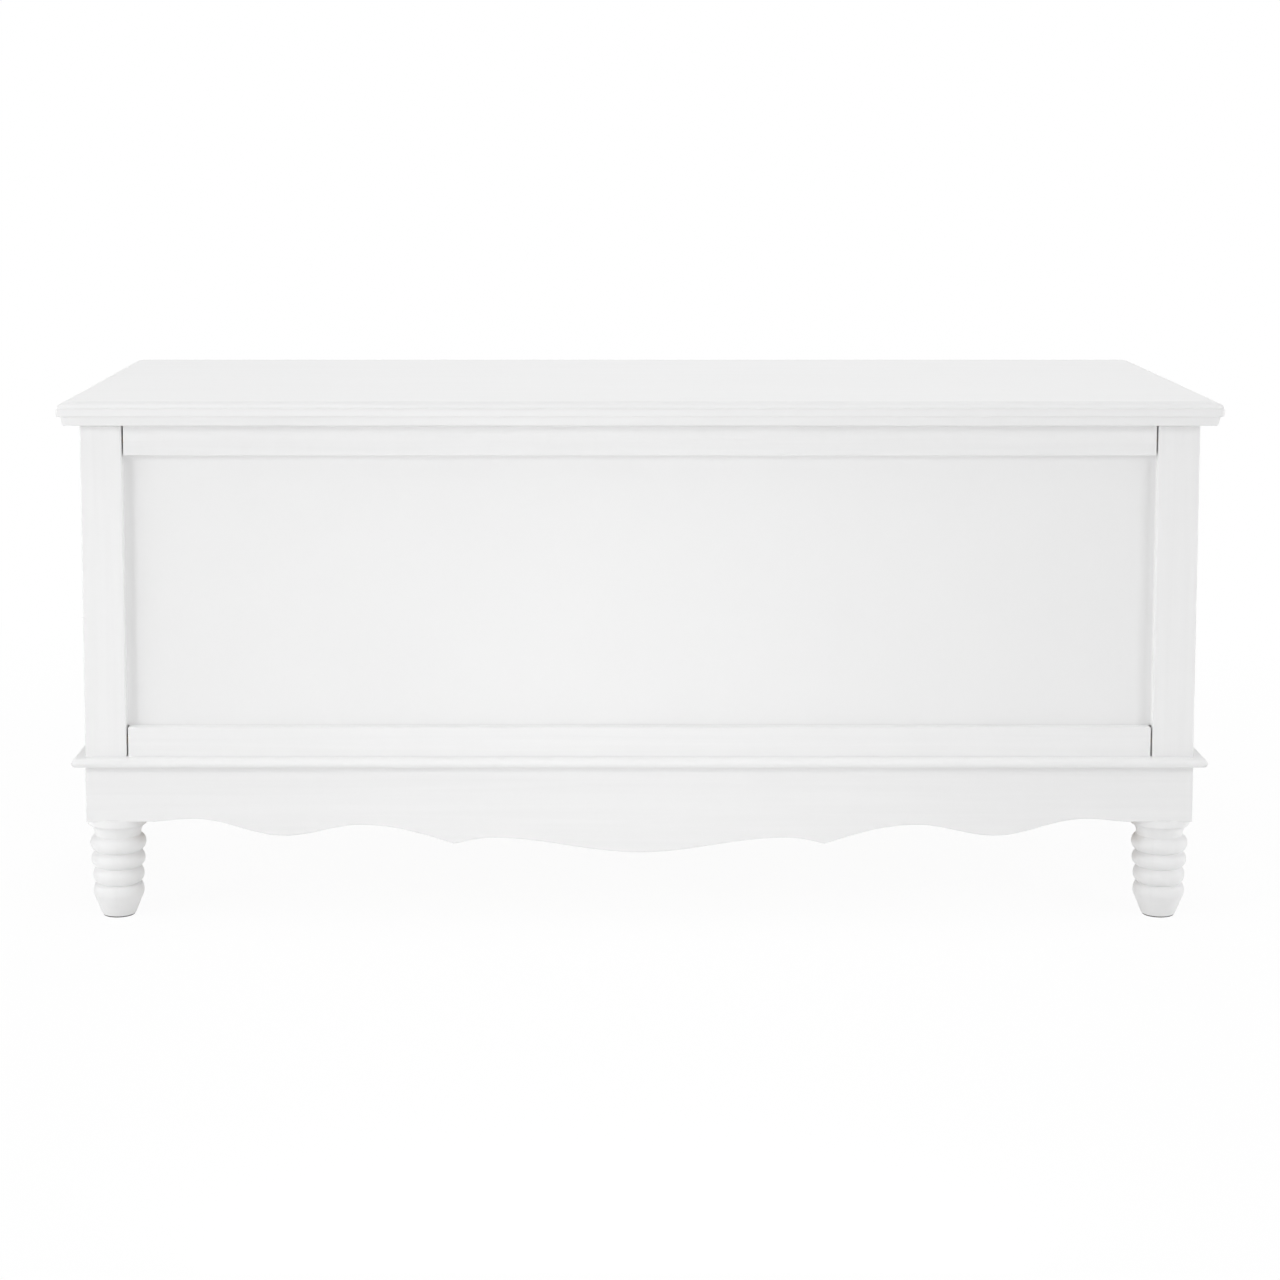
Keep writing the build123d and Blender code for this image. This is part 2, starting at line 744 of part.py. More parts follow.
# Stud plates on the side panels, with the stud that each arm slides along
with BuildPart() as stud_plates:
    for side in sides.values():
        stud_base = facing((side * inner_x, stud_y, stud_z), (-side, 0, 0))
        upright = Plane((side * inner_x, stud_y, stud_z), (0, -side, 0), (-side, 0, 0))
        with BuildSketch(upright):
            RectangleRounded(plate_width, plate_height, plate_corner)
        extrude(amount=plate_thickness)
        with Locations(stud_base):
            Cylinder(stud_collar_radius, arm_standoff - arm_clearance, align=from_below)
            Cylinder(stud_radius, stud_length, align=from_below)
    with Locations(*all_plate_mouths):
        CounterSinkHole(screw_radius + fit, screw_head_radius + fit, plate_thickness, 90)
save(stud_plates, "stay_stud_plates")

# Friction knobs, screwed on the studs over the arms
knob_base = arm_standoff + arm_thickness + arm_clearance
with BuildPart() as knobs:
    for side in sides.values():
        with BuildSketch(facing((side * (inner_x - knob_base), stud_y, stud_z), (-side, 0, 0))):
            Circle(knob_radius)
        extrude(amount=knob_length)
    fillet(knobs.edges().filter_by(GeomType.CIRCLE), knob_round)
    for side in sides.values():
        with BuildSketch(facing((side * (inner_x - knob_base), stud_y, stud_z), (-side, 0, 0))):
            Circle(stud_radius + fit)
        extrude(amount=stud_length - knob_base + fit, mode=Mode.SUBTRACT)
save(knobs, "stay_friction_knobs")

# Lid brackets, each with a riveted pivot for its arm
with BuildPart() as brackets:
    for side in sides.values():
        tab_x = side * (inner_x - tab_standoff)
        with BuildSketch(Plane((tab_x, pivot_y, pivot_z), (0, -side, 0), (-side, 0, 0))):
            Circle(bracket_tab_radius)
            with Locations((0, (strip_bottom - pivot_z) / 2)):
                Rectangle(2 * bracket_tab_radius, strip_bottom - pivot_z)
        extrude(amount=bracket_thickness)
        flange_reach = bracket_thickness + bracket_flange_width
        with BuildSketch(Plane.XY.offset(strip_bottom)):
            with Locations((tab_x - side * flange_reach / 2, pivot_y)):
                Rectangle(flange_reach, bracket_length)
        extrude(amount=-bracket_thickness)
        pivot_length = tab_standoff - arm_standoff + arm_clearance + pivot_head_thickness
        with Locations(facing((tab_x, pivot_y, pivot_z), (side, 0, 0))):
            Cylinder(pivot_radius, pivot_length, align=from_below)
        with Locations(facing((tab_x + side * pivot_length, pivot_y, pivot_z), (-side, 0, 0))):
            Cylinder(pivot_head_radius, pivot_head_thickness, align=from_below)
    with Locations(*all_bracket_mouths):
        CounterSinkHole(screw_radius + fit, screw_head_radius + fit, bracket_thickness, 90)
save(brackets, "stay_lid_brackets")


# Countersunk screws with a crossed recess, one for each mouth
def screw_group(name, mouths, radius, head_radius, length):
    with BuildPart() as screws:
        for mouth in mouths:
            with BuildSketch(Plane(mouth.origin, mouth.x_dir, -mouth.y_dir)):
                with BuildLine():
                    Polyline(
                        (0, 0),
                        (head_radius, 0),
                        (radius, radius - head_radius),
                        (radius, screw_tip - length),
                        (0, -length),
                        close=True,
                    )
                make_face()
            revolve(axis=Axis(mouth.origin, mouth.z_dir))
            with BuildSketch(mouth):
                Rectangle(recess_share * head_radius, recess_width)
                Rectangle(recess_width, recess_share * head_radius)
            extrude(amount=-recess_depth, mode=Mode.SUBTRACT)
    save(screws, name)


post_screw_length = apron_height + moulding_thickness + post_screw_bite
screw_group("post_screws", post_screw_mouths, post_screw_radius, post_screw_head_radius, post_screw_length)
screw_group("hinge_box_screws", box_hinge_mouths, screw_radius, screw_head_radius, hinge_screw_length)
screw_group("hinge_lid_screws", lid_hinge_mouths, screw_radius, screw_head_radius, hinge_screw_length)
screw_group("stay_plate_screws", all_plate_mouths, screw_radius, screw_head_radius, plate_screw_length)
screw_group("stay_bracket_screws", all_bracket_mouths, screw_radius, screw_head_radius, plate_screw_length)
screw_group("cleat_screws", all_cleat_mouths, screw_radius, screw_head_radius, cleat_screw_length)
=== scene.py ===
import math
import bmesh
import bpy
import numpy as np
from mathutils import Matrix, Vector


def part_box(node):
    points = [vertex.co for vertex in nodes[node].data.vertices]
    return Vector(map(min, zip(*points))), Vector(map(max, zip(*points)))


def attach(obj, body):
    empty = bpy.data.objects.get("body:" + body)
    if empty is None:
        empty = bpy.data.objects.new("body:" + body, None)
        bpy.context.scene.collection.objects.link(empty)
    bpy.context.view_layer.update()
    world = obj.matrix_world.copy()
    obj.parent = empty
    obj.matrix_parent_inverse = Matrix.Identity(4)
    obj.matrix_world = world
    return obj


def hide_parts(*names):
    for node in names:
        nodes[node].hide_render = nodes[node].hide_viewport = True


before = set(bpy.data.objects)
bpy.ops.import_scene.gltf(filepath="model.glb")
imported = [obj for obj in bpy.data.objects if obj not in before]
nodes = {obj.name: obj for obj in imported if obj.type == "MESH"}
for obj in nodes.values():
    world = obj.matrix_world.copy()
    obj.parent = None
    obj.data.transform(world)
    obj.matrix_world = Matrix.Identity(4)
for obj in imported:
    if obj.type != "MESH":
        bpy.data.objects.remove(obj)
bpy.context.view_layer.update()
mm = 0.001                                   # sizes of pieces and patterns are in mm, the meshes in m
print("frame loaded with", len(nodes), "nodes")


# sRGB hex to the linear colour that shaders use
def linear(hexColour):
    share = np.array([int(hexColour[i:i + 2], 16) for i in (1, 3, 5)]) / 255
    value = np.where(share <= 0.04045, share / 12.92, ((share + 0.055) / 1.055) ** 2.4)
    return (*value.tolist(), 1.0)


# Adds one node: settings are properties or socket values, links are outputs that feed its sockets
def addNode(tree, kind, settings=None, links=None):
    node = tree.nodes.new(kind)
    for key, value in (settings or {}).items():
        if isinstance(key, str) and hasattr(node, key):
            setattr(node, key, value)
        else:
            node.inputs[key].default_value = value
    for key, output in (links or {}).items():
        tree.links.new(output, node.inputs[key])
    return node


# Empty material, its node tree, and the Object coordinates that its patterns read
def newMaterial(name):
    material = bpy.data.materials.new(name)
    material.use_nodes = True
    tree = material.node_tree
    tree.nodes.clear()
    return material, tree, addNode(tree, "ShaderNodeTexCoord").outputs["Object"]


# Joins a shader to the material's output
def closeMaterial(material, shader):
    addNode(material.node_tree, "ShaderNodeOutputMaterial", None, {"Surface": shader.outputs[0]})
    return material


# Noise scale for a pattern of this size in mm
def perSize(size):
    return 1 / (size * mm)


# Mapping scale for a pattern that is long along one axis and narrow across it, in mm
def stretched(long, wide, along):
    scale = [perSize(wide)] * 3
    scale[along] = perSize(long)
    return scale


# Satin water-based paint brushed over planed pine: the eye sees an even white with long faint
# ripples of the grain and the brush under a soft sheen, and a little more tone where paint pools.
paintLook = {
    "light": "#f3f3f3", "shade": "#efefef", "roughness": (0.36, 0.48), "ior": 1.5,
    "grainLong": 260.0, "grainWide": 7.0, "grainDepth": 0.05,
    "brushLong": 90.0, "brushDepth": 0.025,
    "brushWide": 2.6,                        # bristle lines are under 1 mm, drawn wider so that they show
    "cloudSize": 180.0, "cloudDetail": 2.0, "cloudTone": 0.35,
    "streakSpan": (0.38, 0.72), "streakTone": 0.65,  # part of the grain noise that shows as tone
    "grainNoise": {"Scale": 1.0, "Detail": 5.0, "Roughness": 0.6, "Distortion": 0.6},
    "brushNoise": {"Scale": 1.0, "Detail": 3.0, "Roughness": 0.5},
}


def brushedPaint(name, along):
    look = paintLook
    material, tree, place = newMaterial(name)
    grainScale = stretched(look["grainLong"], look["grainWide"], along)
    brushScale = stretched(look["brushLong"], look["brushWide"], along)
    grainPlace = addNode(tree, "ShaderNodeMapping", {"Scale": grainScale}, {"Vector": place})
    brushPlace = addNode(tree, "ShaderNodeMapping", {"Scale": brushScale}, {"Vector": place})
    grain = addNode(tree, "ShaderNodeTexNoise", look["grainNoise"], {"Vector": grainPlace.outputs[0]})
    brush = addNode(tree, "ShaderNodeTexNoise", look["brushNoise"], {"Vector": brushPlace.outputs[0]})
    cloud = addNode(tree, "ShaderNodeTexNoise",
                    {"Scale": perSize(look["cloudSize"]), "Detail": look["cloudDetail"]}, {"Vector": place})
    low, high = look["streakSpan"]
    streak = addNode(tree, "ShaderNodeMapRange",
                     {"From Min": low, "From Max": high, "To Max": look["streakTone"]},
                     {"Value": grain.outputs["Fac"]})
    tone = addNode(tree, "ShaderNodeMath", {"operation": "MULTIPLY_ADD", 1: look["cloudTone"]},
                   {0: cloud.outputs["Fac"], 2: streak.outputs[0]})
    colour = addNode(tree, "ShaderNodeMix",
                     {"data_type": "RGBA", 6: linear(look["light"]), 7: linear(look["shade"])},
                     {0: tone.outputs[0]})
    smooth, dull = look["roughness"]
    gloss = addNode(tree, "ShaderNodeMapRange", {"To Min": smooth, "To Max": dull},
                    {"Value": brush.outputs["Fac"]})
    grainBump = addNode(tree, "ShaderNodeBump", {"Distance": look["grainDepth"] * mm, "Strength": 1.0},
                        {"Height": grain.outputs["Fac"]})
    brushBump = addNode(tree, "ShaderNodeBump", {"Distance": look["brushDepth"] * mm, "Strength": 1.0},
                        {"Height": brush.outputs["Fac"], "Normal": grainBump.outputs[0]})
    shader = addNode(tree, "ShaderNodeBsdfPrincipled", {"IOR": look["ior"]}, {
        "Base Color": colour.outputs[2], "Roughness": gloss.outputs[0], "Normal": brushBump.outputs[0]})
    return closeMaterial(material, shader)


paintAlongX = brushedPaint("satin_paint_on_pine_x", 0)
paintAlongY = brushedPaint("satin_paint_on_pine_y", 1)
paintAlongZ = brushedPaint("satin_paint_on_pine_z", 2)

# The same paint rolled on smooth board: a fine stipple from the roller and hardly any grain.
boardLook = {
    "light": "#f3f3f3", "shade": "#eeeeee", "roughness": (0.38, 0.46), "ior": 1.5,
    "cloudSize": 240.0, "cloudDetail": 3.0,
    "stippleDetail": 2.0, "stippleDepth": 0.03,
    "stippleSize": 2.4,                      # roller stipple is about 1 mm, drawn wider so that it shows
}


def rolledPaint(name):
    look = boardLook
    material, tree, place = newMaterial(name)
    cloud = addNode(tree, "ShaderNodeTexNoise",
                    {"Scale": perSize(look["cloudSize"]), "Detail": look["cloudDetail"]}, {"Vector": place})
    stipple = addNode(tree, "ShaderNodeTexNoise",
                      {"Scale": perSize(look["stippleSize"]), "Detail": look["stippleDetail"]},
                      {"Vector": place})
    colour = addNode(tree, "ShaderNodeMix",
                     {"data_type": "RGBA", 6: linear(look["light"]), 7: linear(look["shade"])},
                     {0: cloud.outputs["Fac"]})
    smooth, dull = look["roughness"]
    gloss = addNode(tree, "ShaderNodeMapRange", {"To Min": smooth, "To Max": dull},
                    {"Value": stipple.outputs["Fac"]})
    bump = addNode(tree, "ShaderNodeBump", {"Distance": look["stippleDepth"] * mm, "Strength": 1.0},
                   {"Height": stipple.outputs["Fac"]})
    shader = addNode(tree, "ShaderNodeBsdfPrincipled", {"IOR": look["ior"]}, {
        "Base Color": colour.outputs[2], "Roughness": gloss.outputs[0], "Normal": bump.outputs[0]})
    return closeMaterial(material, shader)


rolledBoardPaint = rolledPaint("satin_paint_on_board")

# Planed pine without paint: honey sapwood with darker growth rings cut lengthwise, dry and matt.
pineLook = {
    "early": "#e3c799", "late": "#bf935a", "roughness": 0.62, "ior": 1.45,
    "ringLong": 420.0, "ringWide": 5.0, "ringSpan": (0.35, 0.7),
    "fibreLong": 40.0, "fibreWide": 0.9, "fibreDepth": 0.05,
    "ringNoise": {"Scale": 1.0, "Detail": 3.0, "Distortion": 1.2},
    "fibreNoise": {"Scale": 1.0, "Detail": 2.0},
}


def barePine(name, along):
    look = pineLook
    material, tree, place = newMaterial(name)
    ringScale = stretched(look["ringLong"], look["ringWide"], along)
    fibreScale = stretched(look["fibreLong"], look["fibreWide"], along)
    ringPlace = addNode(tree, "ShaderNodeMapping", {"Scale": ringScale}, {"Vector": place})
    fibrePlace = addNode(tree, "ShaderNodeMapping", {"Scale": fibreScale}, {"Vector": place})
    ring = addNode(tree, "ShaderNodeTexNoise", look["ringNoise"], {"Vector": ringPlace.outputs[0]})
    fibre = addNode(tree, "ShaderNodeTexNoise", look["fibreNoise"], {"Vector": fibrePlace.outputs[0]})
    low, high = look["ringSpan"]
    tone = addNode(tree, "ShaderNodeMapRange", {"From Min": low, "From Max": high},
                   {"Value": ring.outputs["Fac"]})
    colour = addNode(tree, "ShaderNodeMix",
                     {"data_type": "RGBA", 6: linear(look["early"]), 7: linear(look["late"])},
                     {0: tone.outputs[0]})
    bump = addNode(tree, "ShaderNodeBump", {"Distance": look["fibreDepth"] * mm, "Strength": 1.0},
                   {"Height": fibre.outputs["Fac"]})
    shader = addNode(tree, "ShaderNodeBsdfPrincipled", {"IOR": look["ior"], "Roughness": look["roughness"]},
                     {"Base Color": colour.outputs[2], "Normal": bump.outputs[0]})
    return closeMaterial(material, shader)


pineAlongX = barePine("planed_pine_x", 0)
pineAlongY = barePine("planed_pine_y", 1)
pineAlongZ = barePine("planed_pine_z", 2)

# Plated steel: a bright metal with fine tumbling marks, and slightly cloudy in its colour.
nickelLook = {
    "light": "#c7c5c1", "shade": "#b9b7b3", "roughness": (0.2, 0.3),
    "markSize": 1.8, "markDetail": 1.0, "markDepth": 0.003, "cloudSize": 10.8, "cloudDetail": 2.0,
}
zincLook = {
    **nickelLook, "light": "#c0c3c6", "shade": "#aeb1b5", "roughness": (0.28, 0.42),
    "markSize": 1.4, "cloudSize": 8.4,
}


def platedSteel(name, look):
    material, tree, place = newMaterial(name)
    mark = addNode(tree, "ShaderNodeTexNoise",
                   {"Scale": perSize(look["markSize"]), "Detail": look["markDetail"]}, {"Vector": place})
    cloud = addNode(tree, "ShaderNodeTexNoise",
                    {"Scale": perSize(look["cloudSize"]), "Detail": look["cloudDetail"]}, {"Vector": place})
    colour = addNode(tree, "ShaderNodeMix",
                     {"data_type": "RGBA", 6: linear(look["light"]), 7: linear(look["shade"])},
                     {0: cloud.outputs["Fac"]})
    smooth, dull = look["roughness"]
    gloss = addNode(tree, "ShaderNodeMapRange", {"To Min": smooth, "To Max": dull},
                    {"Value": mark.outputs["Fac"]})
    bump = addNode(tree, "ShaderNodeBump", {"Distance": look["markDepth"] * mm, "Strength": 1.0},
                   {"Height": mark.outputs["Fac"]})
    shader = addNode(tree, "ShaderNodeBsdfPrincipled", {"Metallic": 1.0}, {
        "Base Color": colour.outputs[2], "Roughness": gloss.outputs[0], "Normal": bump.outputs[0]})
    return closeMaterial(material, shader)


nickelSteel = platedSteel("nickel_plated_steel", nickelLook)
zincSteel = platedSteel("zinc_plated_steel", zincLook)

# Moulded plastic and rubber: one colour with a fine spark-eroded grain from the mould.
knobLook = {
    "light": "#e4e3e0", "shade": "#dad9d5", "roughness": (0.38, 0.55), "ior": 1.5,
    "grainSize": 0.8, "grainDetail": 3.0, "grainDepth": 0.02,
}
# The glides' dark grey is partly their own plastic and partly painted shadow: it also stands for the thin
# contact shadow under each foot.
glideAndShadowLook = {
    **knobLook, "light": "#605e5b", "shade": "#565451", "roughness": (0.45, 0.6), "grainSize": 1.0,
}
bumperLook = {
    **knobLook, "light": "#d9d6cf", "shade": "#cbc8c0", "roughness": (0.3, 0.45), "grainDepth": 0.01,
}


def mouldedGrain(name, look):
    material, tree, place = newMaterial(name)
    grain = addNode(tree, "ShaderNodeTexNoise",
                    {"Scale": perSize(look["grainSize"]), "Detail": look["grainDetail"]}, {"Vector": place})
    colour = addNode(tree, "ShaderNodeMix",
                     {"data_type": "RGBA", 6: linear(look["light"]), 7: linear(look["shade"])},
                     {0: grain.outputs["Fac"]})
    smooth, dull = look["roughness"]
    gloss = addNode(tree, "ShaderNodeMapRange", {"To Min": smooth, "To Max": dull},
                    {"Value": grain.outputs["Fac"]})
    bump = addNode(tree, "ShaderNodeBump", {"Distance": look["grainDepth"] * mm, "Strength": 1.0},
                   {"Height": grain.outputs["Fac"]})
    shader = addNode(tree, "ShaderNodeBsdfPrincipled", {"IOR": look["ior"]}, {
        "Base Color": colour.outputs[2], "Roughness": gloss.outputs[0], "Normal": bump.outputs[0]})
    return closeMaterial(material, shader)


knobNylon = mouldedGrain("moulded_white_nylon", knobLook)
glidePlasticAndShadow = mouldedGrain("dark_glide_plastic_and_painted_shadow", glideAndShadowLook)
bumperRubber = mouldedGrain("soft_clear_rubber", bumperLook)
print("materials made:", len(bpy.data.materials))


# Lowest and highest corner of a CAD node
def span(node):
    low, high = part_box(node)
    return np.array(low), np.array(high)


# Quads between neighbouring rows of a grid whose columns close into rings
def ringQuads(rows, columns):
    i, j = np.meshgrid(np.arange(rows - 1), np.arange(columns), indexing="ij")
    k = (j + 1) % columns
    here, above = i * columns, (i + 1) * columns
    return np.stack([here + j, here + k, above + k, above + j], -1).reshape(-1, 4)


# Closed skin over rings (rows, columns, xyz), with a flat cap on the first and the last ring
def skin(rings):
    rows, columns = rings.shape[:2]
    faces = ringQuads(rows, columns).tolist()
    faces.append(list(range(columns)))
    faces.append(list(range((rows - 1) * columns, rows * columns)))
    return rings.reshape(-1, 3), faces


# Several closed skins as one mesh
def together(skins):
    points, faces, start = [], [], 0
    for part, partFaces in skins:
        points.append(part)
        faces += [[start + index for index in face] for face in partFaces]
        start += len(part)
    return np.concatenate(points), faces


# Puts a closed skin into a mesh that rides on a body and stands for CAD nodes.
# The bevel's width is in mm, and edges sharper than the angle in degrees stay crisp.
def addPiece(name, shape, body, material, replaced=(), soften=0.0, sharpAbove=38, bevelSteps=3):
    points, faces = shape
    mesh = bpy.data.meshes.new(name)
    mesh.from_pydata(points.tolist(), [], faces)
    work = bmesh.new()
    work.from_mesh(mesh)
    bmesh.ops.recalc_face_normals(work, faces=work.faces)
    work.to_mesh(mesh)
    work.free()
    mesh.polygons.foreach_set("use_smooth", np.ones(len(mesh.polygons), dtype=bool))
    mesh.set_sharp_from_angle(angle=math.radians(sharpAbove))
    mesh.materials.append(material)
    piece = bpy.data.objects.new(name, mesh)
    bpy.context.scene.collection.objects.link(piece)
    if soften:
        ease = piece.modifiers.new("eased edges", "BEVEL")
        ease.width = soften * mm
        ease.segments = bevelSteps
        ease.limit_method = "ANGLE"
        ease.angle_limit = math.radians(sharpAbove)
    flat = piece.modifiers.new("flat faces", "WEIGHTED_NORMAL")
    flat.keep_sharp = True
    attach(piece, body)
    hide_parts(*replaced)
    return piece


# Points of a circular arc round a centre, from one angle to another in degrees
def arc(centre, radius, start, finish, steps=6):
    angle = np.radians(np.linspace(start, finish, steps))
    return np.stack([centre[0] + radius * np.cos(angle), centre[1] + radius * np.sin(angle)], -1)


# Board with eased edges: rounded rectangles carried along one axis. Near each end the corner circles shrink
# by the sine of a quarter turn, so that the end is eased too. The turn starts past 0, so no points coincide.
def easedBoard(low, high, ease, along, steps=4, firstTurn=14):
    across, up = (along + 1) % 3, (along + 2) % 3
    r = ease * mm
    quarter = np.radians(np.linspace(firstTurn, 90, steps))
    reach = r * np.concatenate([np.sin(quarter), np.sin(quarter[::-1])])
    fall = r * np.cos(quarter)
    level = np.concatenate([low[along] + r - fall, high[along] - r + fall[::-1]])
    turn = np.radians(np.concatenate([np.linspace(0, 90, steps) + 90 * q for q in range(4)]))
    centreAcross = np.repeat([high[across] - r, low[across] + r, low[across] + r, high[across] - r], steps)
    centreUp = np.repeat([high[up] - r, high[up] - r, low[up] + r, low[up] + r], steps)
    rings = np.zeros((len(level), len(turn), 3))
    rings[..., along] = level[:, None]
    rings[..., across] = centreAcross + reach[:, None] * np.cos(turn)
    rings[..., up] = centreUp + reach[:, None] * np.sin(turn)
    return skin(rings)


# Prism: one outline in plan carried straight up
def uprightPrism(outline, bottom, top):
    rings = np.zeros((2, len(outline), 3))
    rings[..., :2] = outline
    rings[..., 2] = np.array([bottom, top])[:, None]
    return skin(rings)


# Moulding: a closed section (inset from the edge, height) carried from start to finish along an outer edge.
# Each end moves inwards with the section's inset times its mitre, so that two mouldings meet on the mitre.
def mitredStrip(section, start, finish, inwards, mitres):
    start, finish, inwards = (np.array(v, float) for v in (start, finish, inwards))
    forward = (finish - start) / np.linalg.norm(finish - start)
    inset = section[:, :1]
    base = inset * inwards + section[:, 1:] * np.array([0, 0, 1])
    first = start + base + forward * inset * mitres[0]
    last = finish + base - forward * inset * mitres[1]
    return skin(np.stack([first, last]))


# Turning: a profile (radius, height) carried once round an upright axis at x, y
def turned(profile, x, y, around=96):
    angle = np.linspace(0, 2 * np.pi, around, endpoint=False)
    radius, height = profile[:, :1], profile[:, 1:]
    return skin(np.stack([x + radius * np.cos(angle), y + radius * np.sin(angle), height + 0 * angle], -1))


# Corners of a rectangle in plan
def planCorners(left, right, front, back):
    return {"backLeft": (left, back, 0), "frontLeft": (left, front, 0),
            "frontRight": (right, front, 0), "backRight": (right, back, 0)}


boardLow, boardHigh = span("lid_board")
stripLow, stripHigh = span("lid_front_strip")

# Lid: sizes of its edge in mm, from the underside up
lidEdge = {
    "noseHeight": 6.2, "noseEase": 0.7,      # the upright nose under the round-over
    "grooveDeep": 0.75, "grooveHigh": 0.9,   # fine groove between the nose and the round-over
    "roundStart": 0.5, "roundWide": 7.2, "roundHigh": 4.7,
    "quirkFall": 0.36, "quirkWide": 1.2, "quirkDeep": 0.25,  # small sunk step before the flat top
    "cornerRound": 1.6, "topEase": 0.25,
}


# Lid board: a moulded edge profile (inset, height) carried round the front and the sides.
# Ring by ring the plan shrinks by the inset on three sides, the back stays, and the corners are rounded.
def mouldedLid(roundSteps=14, cornerSteps=6):
    e = {key: value * mm for key, value in lidEdge.items()}
    top = boardHigh[2] - boardLow[2]
    roundFoot = e["noseHeight"] + e["grooveHigh"]
    roundEnd = e["roundStart"] + e["roundWide"]
    quirkFloor = roundFoot + e["roundHigh"] - e["quirkDeep"]
    ledge = roundEnd + e["quirkWide"]
    turn = np.linspace(0, np.pi / 2, roundSteps)
    profile = np.concatenate([
        arc((e["noseEase"], e["noseEase"]), e["noseEase"], 270, 180, 5),
        [[0, e["noseHeight"] - e["topEase"]], [e["topEase"], e["noseHeight"]]],
        [[e["grooveDeep"], e["noseHeight"]], [e["grooveDeep"], roundFoot - e["topEase"]]],
        np.stack([roundEnd - e["roundWide"] * np.cos(turn), roundFoot + e["roundHigh"] * np.sin(turn)], -1),
        [[roundEnd + e["quirkFall"], quirkFloor], [ledge, quirkFloor]],
        [[ledge, top - e["topEase"]], [ledge + e["topEase"], top]],
    ])
    inset, height = profile[:, :1], profile[:, 1:]
    r = e["cornerRound"]
    corner = np.radians(np.linspace(180, 270, cornerSteps))
    left, right = boardLow[0] + inset, boardHigh[0] - inset
    front, back = boardLow[1] + inset, boardHigh[1] + 0 * inset
    x = np.concatenate([left, left + r + r * np.cos(corner), right - r - r * np.cos(corner[::-1]), right], 1)
    y = np.concatenate([back, front + r + r * np.sin(corner), front + r + r * np.sin(corner[::-1]), back], 1)
    return skin(np.stack([x, y, boardLow[2] + height + 0 * x], -1))


addPiece("lid_board_moulded", mouldedLid(), "lid", paintAlongX, ["lid_board"])

lidStrip = {"inset": 3.0, "slope": 2.0, "wide": 80.0, "ease": 0.9}


# Strip section: the outer edge slopes inwards to an eased lower corner, the inner edge is upright
def stripSection():
    s = {key: value * mm for key, value in lidStrip.items()}
    deep = stripHigh[2] - stripLow[2]
    lower = s["inset"] + s["slope"]
    inner = s["inset"] + s["wide"]
    easeLevel = stripLow[2] + s["ease"]
    return np.concatenate([
        [[s["inset"], stripHigh[2]], [lower - s["slope"] * s["ease"] / deep, easeLevel]],
        arc((lower + s["ease"], easeLevel), s["ease"], 190, 270, 4),
        arc((inner - s["ease"], easeLevel), s["ease"], 270, 360, 4),
        [[inner, stripHigh[2]]],
    ])


# Runs round three edges: first and last corner, way inwards, mitre at each end, paint
stripRuns = {
    "left": ("backLeft", "frontLeft", (1, 0, 0), (0, 1), paintAlongY),
    "front": ("frontLeft", "frontRight", (0, 1, 0), (1, 1), paintAlongX),
    "right": ("frontRight", "backRight", (-1, 0, 0), (1, 0), paintAlongY),
}
lidCorners = planCorners(boardLow[0], boardHigh[0], boardLow[1], boardHigh[1])
for wall, (start, finish, inwards, mitres, paint) in stripRuns.items():
    shape = mitredStrip(stripSection(), lidCorners[start], lidCorners[finish], inwards, mitres)
    addPiece(f"lid_{wall}_strip_sloped", shape, "lid", paint, [f"lid_{wall}_strip"])

cleatShape = {"wide": 60.0, "ease": 2.5}
cleatLow, cleatHigh = span("lid_cleats")
cleatWide = cleatShape["wide"] * mm
leftCleat = easedBoard(cleatLow, (cleatLow[0] + cleatWide, *cleatHigh[1:]), cleatShape["ease"], 1)
rightCleat = easedBoard((cleatHigh[0] - cleatWide, *cleatLow[1:]), cleatHigh, cleatShape["ease"], 1)
cleats = together([leftCleat, rightCleat])
addPiece("lid_cleats_eased", cleats, "lid", paintAlongY, ["lid_cleats"])
print("lid made")

postShape = {"rail": 22.0, "rebate": 31.5, "size": 36.0, "ease": 1.1}


# Post: a square with a stepped rebate in its inner corner, carried straight up
def rebatedPost(side, end, low, high):
    p = {key: value * mm for key, value in postShape.items()}
    u = np.array([0, p["size"], p["size"], p["rebate"], p["rebate"], p["rail"], p["rail"], 0])
    v = np.array([0, 0, p["rail"], p["rail"], p["rebate"], p["rebate"], p["size"], p["size"]])
    x = low[0] + u if side < 0 else high[0] - u
    y = low[1] + v if end < 0 else high[1] - v
    return uprightPrism(np.stack([x, y], -1), low[2], high[2])


corners = {"front_left": (-1, -1), "front_right": (1, -1), "back_left": (-1, 1), "back_right": (1, 1)}
for corner, (side, end) in corners.items():
    low, high = span(f"{corner}_post")
    low[2] -= postShape["ease"] * mm         # the eased foot is let into the moulding
    shape = rebatedPost(side, end, low, high)
    addPiece(f"{corner}_post_rebated", shape, "box", paintAlongZ, [f"{corner}_post"],
             soften=postShape["ease"])

panelShape = {
    "board": 9.0, "margin": 4.15, "ease": 0.1,
    "gap": -0.05,                            # below zero, because paint fills the joint round the field
}


